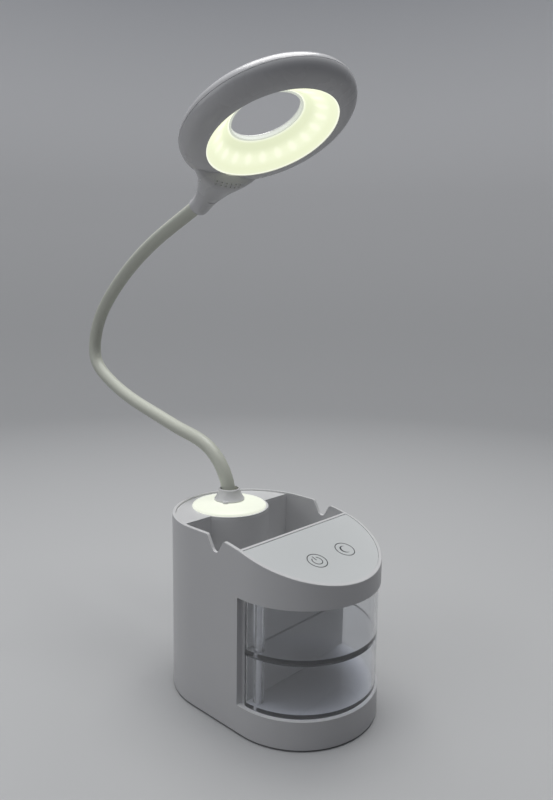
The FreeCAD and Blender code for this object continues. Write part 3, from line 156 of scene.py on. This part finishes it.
# ---------------------------------------------------------------- node trees
class Surface:
    """A material with one Principled shader, and short calls for the nodes that feed it."""

    def __init__(self, name):
        self.material = bpy.data.materials.new(name)
        self.material.use_nodes = True
        self.nodes = self.material.node_tree.nodes
        self.links = self.material.node_tree.links
        self.shader = self.nodes["Principled BSDF"]
        self.output = self.nodes["Material Output"]
        self.place = self.nodes.new("ShaderNodeTexCoord").outputs["Object"]

    def node(self, kind, inputs=(), **settings):
        """New node, its inputs fed with values or with other nodes' outputs."""
        made = self.nodes.new(kind)
        for key, value in settings.items():
            setattr(made, key, value)
        for key, value in dict(inputs).items():
            self.feed(made.inputs[key], value)
        return made

    def feed(self, socket, value):
        if isinstance(value, bpy.types.NodeSocket):
            self.links.new(value, socket)
        else:
            socket.default_value = value

    def noise(self, scale, detail=2.0, stretch=(1, 1, 1)):
        """Noise with scale features to the metre, drawn out along an axis where stretch is small."""
        place = self.node("ShaderNodeMapping", {"Vector": self.place, "Scale": stretch}).outputs[0]
        made = self.node("ShaderNodeTexNoise", {"Vector": place, "Scale": scale, "Detail": detail})
        return made.outputs["Fac"]

    def math(self, operation, *values):
        made = self.node("ShaderNodeMath", operation=operation)
        for socket, value in zip(made.inputs, values):
            self.feed(socket, value)
        return made.outputs[0]

    def span(self, value, low, high, start=0.0, end=1.0, smooth=False):
        """value, running from start to end, turned into low to high."""
        kind = "SMOOTHSTEP" if smooth else "LINEAR"
        return self.node("ShaderNodeMapRange", {
            "Value": value, "From Min": start, "From Max": end, "To Min": low, "To Max": high,
        }, interpolation_type=kind).outputs[0]

    def blend(self, share, low, high):
        """Colour between two colours."""
        made = self.node("ShaderNodeMix", data_type="RGBA")
        for socket, value in zip([made.inputs[0], made.inputs[6], made.inputs[7]], [share, low, high]):
            self.feed(socket, rgba(value))
        return made.outputs[2]

    def ramp(self, value, stops):
        """Colour along a row of (value, colour) stops."""
        low, high = stops[0][0], stops[-1][0]
        made = self.node("ShaderNodeValToRGB", {"Fac": self.span(value, 0.0, 1.0, low, high)})
        row = made.color_ramp.elements
        row[1].position, row[1].color = 1.0, rgba(stops[-1][1])
        row[0].position, row[0].color = 0.0, rgba(stops[0][1])
        for place, colour in stops[1:-1]:
            row.new((place - low) / (high - low)).color = rgba(colour)
        return made.outputs["Color"]

    def set(self, **values):
        for key, value in values.items():
            self.feed(self.shader.inputs[key.replace("_", " ")], rgba(value))

    def bump(self, height, distance, strength=1.0):
        self.set(Normal=self.node("ShaderNodeBump", {
            "Height": height, "Distance": distance, "Strength": strength}).outputs[0])


def rgba(value):
    """A plain colour with its alpha, and anything else as it is."""
    return (*value, 1.0) if isinstance(value, tuple) and len(value) == 3 else value


def shade(colour, factor):
    return tuple(channel * factor for channel in colour)


# ---------------------------------------------------------------- materials
def moulded(name, colour, roughness, mottle=0.02, grain=0.004 * MM, coat=0.0):
    """Moulded plastic or rubber: barely uneven colour and gloss, and a fine grain."""
    s = Surface(name)
    s.set(Base_Color=s.blend(s.noise(35, 3), shade(colour, 1 - mottle), shade(colour, 1 + mottle)))
    s.set(Roughness=s.span(s.noise(60, 2), *roughness, *NOISE_REACH))
    s.set(Coat_Weight=coat, Coat_Roughness=COAT_ROUGHNESS)
    s.bump(s.noise(GRAIN_FINENESS, 1), grain)
    return s


def clear_plastic(name):
    """Clear polystyrene that lets the light of the lamps through to what is behind it."""
    s = Surface(name)
    s.set(Base_Color=s.blend(s.noise(20), (0.95, 0.96, 0.98), (0.975, 0.98, 0.99)))
    s.set(Roughness=s.span(s.noise(45), 0.02, 0.06, *NOISE_REACH))
    s.set(Transmission_Weight=0.94, IOR=1.52)
    open_way = s.node("ShaderNodeBsdfTransparent", {"Color": (0.87, 0.885, 0.92, 1.0)})
    shadow = s.node("ShaderNodeLightPath").outputs["Is Shadow Ray"]
    mixed = s.node("ShaderNodeMixShader")
    s.links.new(shadow, mixed.inputs[0])
    s.links.new(s.shader.outputs[0], mixed.inputs[1])
    s.links.new(open_way.outputs[0], mixed.inputs[2])
    s.links.new(mixed.outputs[0], s.output.inputs["Surface"])
    return s


def metal(name, colour, roughness, stretch=(1, 1, 1)):
    """Metal with fine scratches along the axis where stretch is small."""
    s = Surface(name)
    streaks = s.noise(900, 3, stretch)
    s.set(Base_Color=s.blend(streaks, shade(colour, 0.9), shade(colour, 1.06)))
    s.set(Roughness=s.span(streaks, *roughness, *NOISE_REACH), Metallic=1.0)
    s.bump(streaks, SCRATCH)
    return s


def pouch_foil(name):
    """Crinkled foil of a pouch cell."""
    s = Surface(name)
    wrinkles = s.noise(160, 4)
    s.set(Base_Color=s.blend(wrinkles, (0.66, 0.67, 0.69), (0.78, 0.79, 0.80)))
    s.set(Roughness=s.span(wrinkles, 0.22, 0.42), Metallic=1.0)
    s.bump(wrinkles, 0.25 * MM, 0.6)
    return s


def printed_board(name, mask, track, track_w):
    """Solder mask over copper tracks, which show as slightly raised lines between its fields."""
    s = Surface(name)
    fields = s.node("ShaderNodeTexVoronoi", {"Vector": s.place, "Scale": BOARD_FIELDS},
                    feature="DISTANCE_TO_EDGE").outputs["Distance"]
    tracks = s.span(fields, 1.0, 0.0, TRACK_CORE, track_w, smooth=True)
    s.set(Base_Color=s.blend(tracks, mask, track))
    s.set(Roughness=s.span(s.noise(200), 0.3, 0.45))
    s.bump(tracks, 0.03 * MM)
    return s


def night_diffuser(name):
    """Milky disc, lit evenly from below by the night light's ring of chips."""
    s = Surface(name)
    s.set(Base_Color=(0.42, 0.43, 0.38), Roughness=s.span(s.noise(70), 0.28, 0.4))
    glow = s.blend(s.noise(60), (0.93, 0.98, 0.80), (0.98, 1.0, 0.88))
    s.set(Emission_Color=glow, Emission_Strength=0.69)
    s.bump(s.noise(GRAIN_FINENESS, 1), 0.003 * MM)
    return s


def stage_paint(name):
    """Matt paint of the floor and backdrop, paler to look at than as a source of light."""
    s = Surface(name)
    height = s.node("ShaderNodeSeparateXYZ", {"Vector": s.place}).outputs["Z"]
    rise = s.span(height, 0.0, 1.0, *BACKDROP_RISE, smooth=True)
    paint = s.blend(rise, FLOOR_SEEN, BACKDROP_SEEN)
    rays = s.node("ShaderNodeLightPath").outputs
    mirrored = s.math("MAXIMUM", rays["Is Glossy Ray"], rays["Is Transmission Ray"])
    seen = s.math("MAXIMUM", rays["Is Camera Ray"], mirrored)
    s.set(Base_Color=s.blend(seen, STAGE_BOUNCE, paint), Roughness=0.65)
    return s


def head_place(s):
    """Distance from the ring's axis, turn about it and height over the glowing rim."""
    turn_back = (-math.radians(HEAD_TILT_DEG), 0, 0)
    in_head = s.node("ShaderNodeMapping", {
        "Vector": s.place, "Location": tuple(HEAD_CENTRE), "Rotation": turn_back,
    }, vector_type="TEXTURE").outputs[0]
    axes = s.node("ShaderNodeSeparateXYZ", {"Vector": in_head})
    x, y = axes.outputs["X"], axes.outputs["Y"]
    radius = s.math("SQRT", s.math("ADD", s.math("MULTIPLY", x, x), s.math("MULTIPLY", y, y)))
    return radius, s.math("ARCTAN2", y, x), axes.outputs["Z"]


def head_shell(name):
    """Glossy white plastic, with painted light on the lip round the hole: an emission that stands in for
    the light of the chips behind it.
    """
    s = moulded(name, (0.74, 0.74, 0.75), (0.22, 0.30), coat=0.2)
    radius, _, height = head_place(s)
    # painted light: the opaque lip round the hole is made to glow where the chips' light would fall on
    # it
    painted_lip_light = s.math("MULTIPLY", s.span(radius, 1.0, 0.0, *LIP_R), s.span(height, 1.0, 0.0, *LIP_TOP))
    s.set(Emission_Color=(0.94, 1.0, 0.86), Emission_Strength=s.math("MULTIPLY", painted_lip_light, LIP_PAINTED_LIGHT))
    return s


def head_diffuser(name):
    """Milky funnel with a row of soft bright spots where the chips shine through."""
    s = Surface(name)
    radius, turn, _ = head_place(s)
    turn = s.math("SUBTRACT", turn, math.radians(LED_START_DEG))
    wave = s.math("COSINE", s.math("MULTIPLY", turn, float(RING_LEDS)))
    along_ring = s.math("MULTIPLY", s.math("SUBTRACT", 1.0, wave), SPOT_SQUEEZE)
    off_ring = s.math("POWER", s.math("ABSOLUTE", s.math("SUBTRACT", radius, LED_R)), 2.0)
    from_chip = s.math("SQRT", s.math("ADD", off_ring, along_ring))
    spots = s.span(from_chip, 1.0, 0.0, SPOT_CORE_R, SPOT_R, smooth=True)
    glow = s.ramp(s.math("DIVIDE", radius, MM), GLOW_STOPS)
    s.set(Emission_Color=s.blend(spots, glow, SPOT_GLOW), Emission_Strength=1.0)
    s.set(Base_Color=s.blend(s.noise(60), (0.26, 0.27, 0.24), (0.30, 0.31, 0.28)))
    s.set(Roughness=s.span(s.noise(70), 0.3, 0.42))
    return s


def materials():
    """Materials by name: one for each slot of the record, and those that only the scene has."""
    surfaces = {
        "white_plastic": moulded("white_plastic", (0.78, 0.78, 0.785), (0.32, 0.42)),
        "head_white_plastic": head_shell("head_white_plastic"),
        "panel_plastic": moulded(
            "panel_plastic", (0.76, 0.78, 0.78), (0.3, 0.34), mottle=0.01, coat=0.1),
        "clear_plastic": clear_plastic("clear_plastic"),
        "diffuser_plastic": head_diffuser("head_diffuser"),
        "foot_rubber": moulded(
            "foot_rubber", (0.035, 0.035, 0.036), (0.75, 0.9), mottle=0.1, grain=0.03 * MM),
        "screw_steel": metal("screw_steel", (0.62, 0.62, 0.64), (0.25, 0.4)),
        "plate_steel": metal("plate_steel", (0.45, 0.46, 0.48), (0.35, 0.55), stretch=(1, 0.05, 1)),
        "pouch_foil": pouch_foil("pouch_foil"),
        "circuit_board": printed_board("circuit_board", (0.02, 0.16, 0.06), (0.07, 0.30, 0.13), 0.09),
        "light_board": printed_board("light_board", (0.78, 0.78, 0.76), (0.68, 0.68, 0.65), 0.07),
        "led_body": moulded("led_body", (0.86, 0.72, 0.22), (0.3, 0.4), mottle=0.06),
        "socket_steel": metal("socket_steel", (0.72, 0.72, 0.74), (0.15, 0.25), stretch=(1, 0.1, 1)),
        "ribbon_film": moulded("ribbon_film", (0.42, 0.18, 0.03), (0.25, 0.35), mottle=0.08),
        "lead_sheath": moulded("lead_sheath", (0.72, 0.72, 0.70), (0.5, 0.6), mottle=0.03),
        "brass": metal("brass", (0.75, 0.55, 0.25), (0.25, 0.38), stretch=(1, 1, 0.1)),
        "silicone": moulded(
            "silicone", (0.70, 0.72, 0.63), (0.36, 0.46), mottle=0.025, grain=0.008 * MM),
        "hose_steel": metal("hose_steel", (0.55, 0.55, 0.56), (0.3, 0.45)),
        "night_diffuser": night_diffuser("night_diffuser"),
        "mark_ink": moulded("mark_ink", (0.05, 0.055, 0.06), (0.4, 0.5), mottle=0.05),
        "stage": stage_paint("stage"),
    }
    return {slot: surface.material for slot, surface in surfaces.items()}


def dress(frame, looks):
    """Gives each CAD node the material of its slot in the record; the night light's disc has its own."""
    slots = {part["node"]: part["material_slot"] for part in frame["record"]["subparts"]}
    slots["night_light_disc"] = "night_diffuser"
    for node, cad in frame["nodes"].items():
        cad.data.materials.clear()
        cad.data.materials.append(looks[slots[node]])


# ---------------------------------------------------------------- neck sleeve
def neck_joints(frame):
    """The neck's hinges, from the base up to the head."""
    return [j for j in frame["joints"] if j["name"].startswith("neck_")]


def neck_knots(frame):
    """Ends and flexing points of the neck's centreline, and its headings at the two ends."""
    pivots = [Vector(j["pos_m"]) for j in neck_joints(frame)]
    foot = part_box("neck_sleeve_00")[0].z
    first = Vector((pivots[0].x, sum(c.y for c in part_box("neck_nipple")) / 2, foot))
    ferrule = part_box("neck_ferrule")
    heading = ((ferrule[0] + ferrule[1]) / 2 - pivots[-1]).normalized()
    last_link = frame["nodes"]["neck_sleeve_%02d" % len(pivots)].data.vertices
    reach = max((v.co - pivots[-1]).dot(heading) for v in last_link)
    return [first] + pivots + [pivots[-1] + heading * reach], Vector((0, 0, 1)), heading


class Spline:
    """Smooth curve through points, with given headings at both ends."""

    def __init__(self, knots, first_heading, last_heading):
        self.knots = knots
        self.gaps = [(b - a).length for a, b in zip(knots, knots[1:])]
        n = len(knots)
        slopes = [first_heading.copy()] + [Vector()] * (n - 2) + [last_heading.copy()]
        # equations in three slopes each, for equal curvature on both sides of each inner knot
        upper, right = [0.0] * n, list(slopes)
        for i in range(1, n - 1):
            a, b = self.gaps[i - 1], self.gaps[i]
            wanted = 3 * (b / a * (knots[i] - knots[i - 1]) + a / b * (knots[i + 1] - knots[i]))
            pivot = 2 * (a + b) - b * upper[i - 1]
            upper[i] = a / pivot
            right[i] = (wanted - b * right[i - 1]) / pivot
        for i in range(n - 2, 0, -1):
            slopes[i] = right[i] - upper[i] * slopes[i + 1]
        self.slopes = slopes

    def at(self, run, share):
        """Point and heading at a share of the way along one run between two knots."""
        start, end = self.knots[run], self.knots[run + 1]
        leave, reach = self.slopes[run], self.slopes[run + 1]
        t, gap = share, self.gaps[run]
        point = ((2 * t**3 - 3 * t**2 + 1) * start + (t**3 - 2 * t**2 + t) * gap * leave
                 + (3 * t**2 - 2 * t**3) * end + (t**3 - t**2) * gap * reach)
        slope = ((6 * t**2 - 6 * t) * start / gap + (3 * t**2 - 4 * t + 1) * leave
                 + (6 * t - 6 * t**2) * end / gap + (3 * t**2 - 2 * t) * reach)
        return point, slope.normalized()


def stations(curve, run, skip, stop):
    """Points and headings along one run, from skip past its start to stop before its end."""
    length = curve.gaps[run]
    reach = length - skip - stop
    steps = math.ceil(reach / SKIN_STEP)
    return [curve.at(run, (skip + reach * i / steps) / length) for i in range(steps + 1)]


def cap_rings(centre, heading, radius, from_turn, to_turn):
    """Rings on a ball from one latitude to the other, counted backwards along the heading."""
    turns = [from_turn + (to_turn - from_turn) * i / BALL_STEPS for i in range(BALL_STEPS + 1)]
    return [(centre - radius * math.sin(a) * heading, heading, radius * math.cos(a)) for a in turns]


def ball_rings(pivot, heading, outer_r):
    """The ball before a piece's first flexing point, and the wide bore through it."""
    reach_turn = math.asin(BALL_REACH / outer_r)
    ball = cap_rings(pivot, heading, outer_r, reach_turn, 0.0)[:-1]
    bore = [(pivot, heading, BALL_BORE_R), (pivot - BALL_REACH * heading, heading, BALL_BORE_R)]
    return ball, bore


def skin_rings(curve, run, outer_r):
    """Centre, heading and radius of each ring along one piece's outside and back through its bore."""
    ball, wide_bore, bore_start = [], [], 0.0
    if run > 0:
        ball, wide_bore = ball_rings(*curve.at(run, 0.0), outer_r)
        bore_start = BALL_BORE_L
    cup, outside_stop, bore_stop = [], 0.0, 0.0
    if run < len(curve.gaps) - 1:
        cup_r = outer_r + CUP_GAP
        lip_turn, root_turn = math.acos(outer_r / cup_r), math.acos(SKIN_BORE_R / cup_r)
        cup = cap_rings(*curve.at(run, 1.0), cup_r, lip_turn, root_turn)
        outside_stop = cup_r * math.sin(lip_turn) + SKIN_STEP
        bore_stop = cup_r * math.sin(root_turn) + SKIN_STEP
    outside = [(*place, outer_r) for place in stations(curve, run, 0.0, outside_stop)]
    bore = [(*place, SKIN_BORE_R) for place in reversed(stations(curve, run, bore_start, bore_stop))]
    return ball + outside + cup + bore + wide_bore


def skin_piece(name, rings):
    """Closed length of tube whose skin runs from ring to ring and back to the first."""
    mesh = bmesh.new()
    across = Vector((1, 0, 0))
    turns = [2 * math.pi * i / SKIN_SIDES for i in range(SKIN_SIDES)]
    rows = []
    for centre, heading, radius in rings:
        up = heading.cross(across)
        rows.append([mesh.verts.new(centre + radius * (math.cos(a) * across + math.sin(a) * up))
                     for a in turns])
    for a, b in zip(rows, rows[1:] + rows[:1]):
        for i in range(SKIN_SIDES):
            k = (i + 1) % SKIN_SIDES
            mesh.faces.new((a[i], a[k], b[k], b[i]))
    bmesh.ops.recalc_face_normals(mesh, faces=mesh.faces)
    return add_object(name, mesh)


def add_object(name, mesh):
    data = bpy.data.meshes.new(name)
    mesh.to_mesh(data)
    mesh.free()
    made = bpy.data.objects.new(name, data)
    bpy.context.scene.collection.objects.link(made)
    data.shade_smooth()
    data.set_sharp_from_angle(angle=math.radians(SHARP_DEG))
    return made


def neck_skin(frame, silicone):
    """The silicone sleeve, one piece to a link, jointed like a string of balls and cups."""
    joints = neck_joints(frame)
    knots, first_heading, last_heading = neck_knots(frame)
    curve = Spline(knots, first_heading, last_heading)
    low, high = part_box("neck_sleeve_00")
    outer_r = (high.x - low.x) / 2
    for run, body in enumerate([joints[0]["parent"]] + [j["child"] for j in joints]):
        piece = skin_piece("neck_skin_%02d" % run, skin_rings(curve, run, outer_r))
        piece.data.materials.append(silicone)
        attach(piece, body)
        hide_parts("neck_sleeve_%02d" % run)


# ---------------------------------------------------------------- touch marks
def panel_place(panel, x, y):
    """Matrix whose X and Y lie in the panel's face at (x, y), with Z out of it."""
    hit, point, normal, _ = panel.ray_cast(Vector((x, y, SIGHT_Z)), Vector((0, 0, -1)))
    assert hit, "the touch mark is off the panel"
    across = Vector((1, 0, 0))
    along = normal.cross(across).normalized()
    turn = Matrix((across, along, normal)).transposed().to_4x4()
    return Matrix.Translation(point) @ turn


def arc(radius, start_deg, end_deg):
    """Points round the origin from one angle to the other."""
    steps = max(2, round(abs(end_deg - start_deg) / ARC_STEP_DEG))
    turns = [math.radians(start_deg + (end_deg - start_deg) * i / steps) for i in range(steps + 1)]
    return [(radius * math.cos(a), radius * math.sin(a)) for a in turns]


def strip(outside, inside):
    """Quads between two rows of points."""
    return [[outside[i], outside[i + 1], inside[i + 1], inside[i]] for i in range(len(outside) - 1)]


def mark(name, quads, place, ink):
    """Thin printed solid on the panel, from quads in the panel's plane."""
    mesh = bmesh.new()
    for quad in quads:
        mesh.faces.new([mesh.verts.new((x, y, 0)) for x, y in quad])
    bmesh.ops.remove_doubles(mesh, verts=mesh.verts, dist=MARK_T / 10)
    raised = bmesh.ops.extrude_face_region(mesh, geom=mesh.faces[:])["geom"]
    top = [v for v in raised if isinstance(v, bmesh.types.BMVert)]
    bmesh.ops.translate(mesh, verts=top, vec=(0, 0, MARK_T))
    bmesh.ops.recalc_face_normals(mesh, faces=mesh.faces)
    mesh.transform(place)
    made = add_object(name, mesh)
    made.data.materials.append(ink)
    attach(made, "base")


def key_ring():
    return strip(arc(RING_R, 0, 360), arc(RING_R - LINE_W, 0, 360))


def power_sign():
    top = 90.0
    start, end = top + POWER_GAP_DEG, top + 360 - POWER_GAP_DEG
    low, high = POWER_BAR
    bar = [(-LINE_W / 2, low), (LINE_W / 2, low), (LINE_W / 2, high), (-LINE_W / 2, high)]
    return strip(arc(POWER_R, start, end), arc(POWER_R - LINE_W, start, end)) + [bar]


def moon_sign():
    """Crescent between two arcs that share their ends."""
    bite_r, offset = MOON_BITE
    chord_x = (MOON_R**2 - bite_r**2 + offset**2) / (2 * offset)
    tip = math.degrees(math.acos(chord_x / MOON_R))
    bite_tip = math.degrees(math.acos((chord_x - offset) / bite_r))
    outside, inside = [], []
    for i in range(MOON_STEPS + 1):
        a = math.radians(tip + (360 - 2 * tip) * i / MOON_STEPS)
        b = math.radians(bite_tip + (360 - 2 * bite_tip) * i / MOON_STEPS)
        outside.append((MOON_R * math.cos(a), MOON_R * math.sin(a)))
        inside.append((offset + bite_r * math.cos(b), bite_r * math.sin(b)))
    turn = math.radians(MOON_TURN_DEG - 180)
    spun = [[(x * math.cos(turn) - y * math.sin(turn), x * math.sin(turn) + y * math.cos(turn))
             for x, y in row] for row in (outside, inside)]
    return strip(*spun)


def touch_marks(panel, ink):
    x, y = TOUCH_AT
    for side, name, sign in ((-1, "power", power_sign), (1, "moon", moon_sign)):
        place = panel_place(panel, side * x, y)
        mark(name + "_key_ring", key_ring(), place, ink)
        mark(name + "_key_sign", sign(), place, ink)


# ---------------------------------------------------------------- stage
def stage_cove(material):
    """Floor that bends up all round into a plain backdrop."""
    mesh = bmesh.new()
    turns = [math.pi / 2 * i / COVE_STEPS for i in range(COVE_STEPS + 1)]
    bend = [(FLOOR_R + COVE_R * math.sin(a), COVE_R * (1 - math.cos(a))) for a in turns]
    profile = [(0.0, 0.0)] + bend + [(FLOOR_R + COVE_R, COVE_TOP)]
    chain = [mesh.verts.new((r, 0, z)) for r, z in profile]
    edges = [mesh.edges.new(pair) for pair in zip(chain, chain[1:])]
    bmesh.ops.spin(mesh, geom=chain + edges, axis=(0, 0, 1), cent=(0, 0, 0), angle=2 * math.pi,
                   steps=COVE_SIDES, use_merge=True)
    bmesh.ops.remove_doubles(mesh, verts=mesh.verts, dist=WELD)
    bmesh.ops.recalc_face_normals(mesh, faces=mesh.faces)
    bmesh.ops.reverse_faces(mesh, faces=mesh.faces)
    cove = add_object("stage_cove", mesh)
    cove.data.materials.append(material)


def soft_light(name, at, aim, size, watts, colour):
    """Area lamp that reaches what is behind the clear plastic by shadow rays alone, so only once."""
    lamp = bpy.data.lights.new(name, "AREA")
    lamp.shape = "RECTANGLE"
    lamp.size, lamp.size_y = size
    lamp.energy = watts
    lamp.color = colour
    made = bpy.data.objects.new(name, lamp)
    made.location = at
    made.visible_transmission = False
    made.rotation_euler = (Vector(aim) - Vector(at)).to_track_quat("-Z", "Y").to_euler()
    bpy.context.scene.collection.objects.link(made)


def world_light():
    """Bluish light from all round, which passes the clear plastic as the lamps' does."""
    world = bpy.data.worlds.new("studio")
    bpy.context.scene.world = world
    world.use_nodes = True
    sky = world.node_tree.nodes["Background"]
    sky.inputs["Color"].default_value = (*WORLD_COLOUR, 1.0)
    sky.inputs["Strength"].default_value = WORLD_STRENGTH
    world.cycles_visibility.transmission = False


def camera():
    """The camera that took the photograph, as fitted to it."""
    turn, pitch, roll = CAMERA_AZIMUTH, CAMERA_PITCH, CAMERA_ROLL
    level = Vector((math.cos(turn), math.sin(turn), 0))
    behind = Vector((math.sin(turn), -math.cos(turn), 0))
    back = math.cos(pitch) * behind + Vector((0, 0, math.sin(pitch)))
    right = math.cos(roll) * level + math.sin(roll) * level.cross(back)
    lens = bpy.data.cameras.new("camera")
    lens.lens = CAMERA_LENS
    lens.clip_start = 10 * MM
    made = bpy.data.objects.new("camera", lens)
    made.matrix_world = Matrix.Translation(CAMERA_AT) @ Matrix(
        (right, back.cross(right), back)).transposed().to_4x4()
    bpy.context.scene.collection.objects.link(made)
    bpy.context.scene.camera = made


# ---------------------------------------------------------------- the scene
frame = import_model()

looks = materials()
dress(frame, looks)
neck_skin(frame, looks["silicone"])
touch_marks(frame["nodes"]["control_panel"], looks["mark_ink"])

stage_cove(looks["stage"])
soft_light("key_light", **KEY_LIGHT)
soft_light("fill_light", **FILL_LIGHT)
world_light()
camera()
bpy.context.scene.view_settings.view_transform = "Standard"
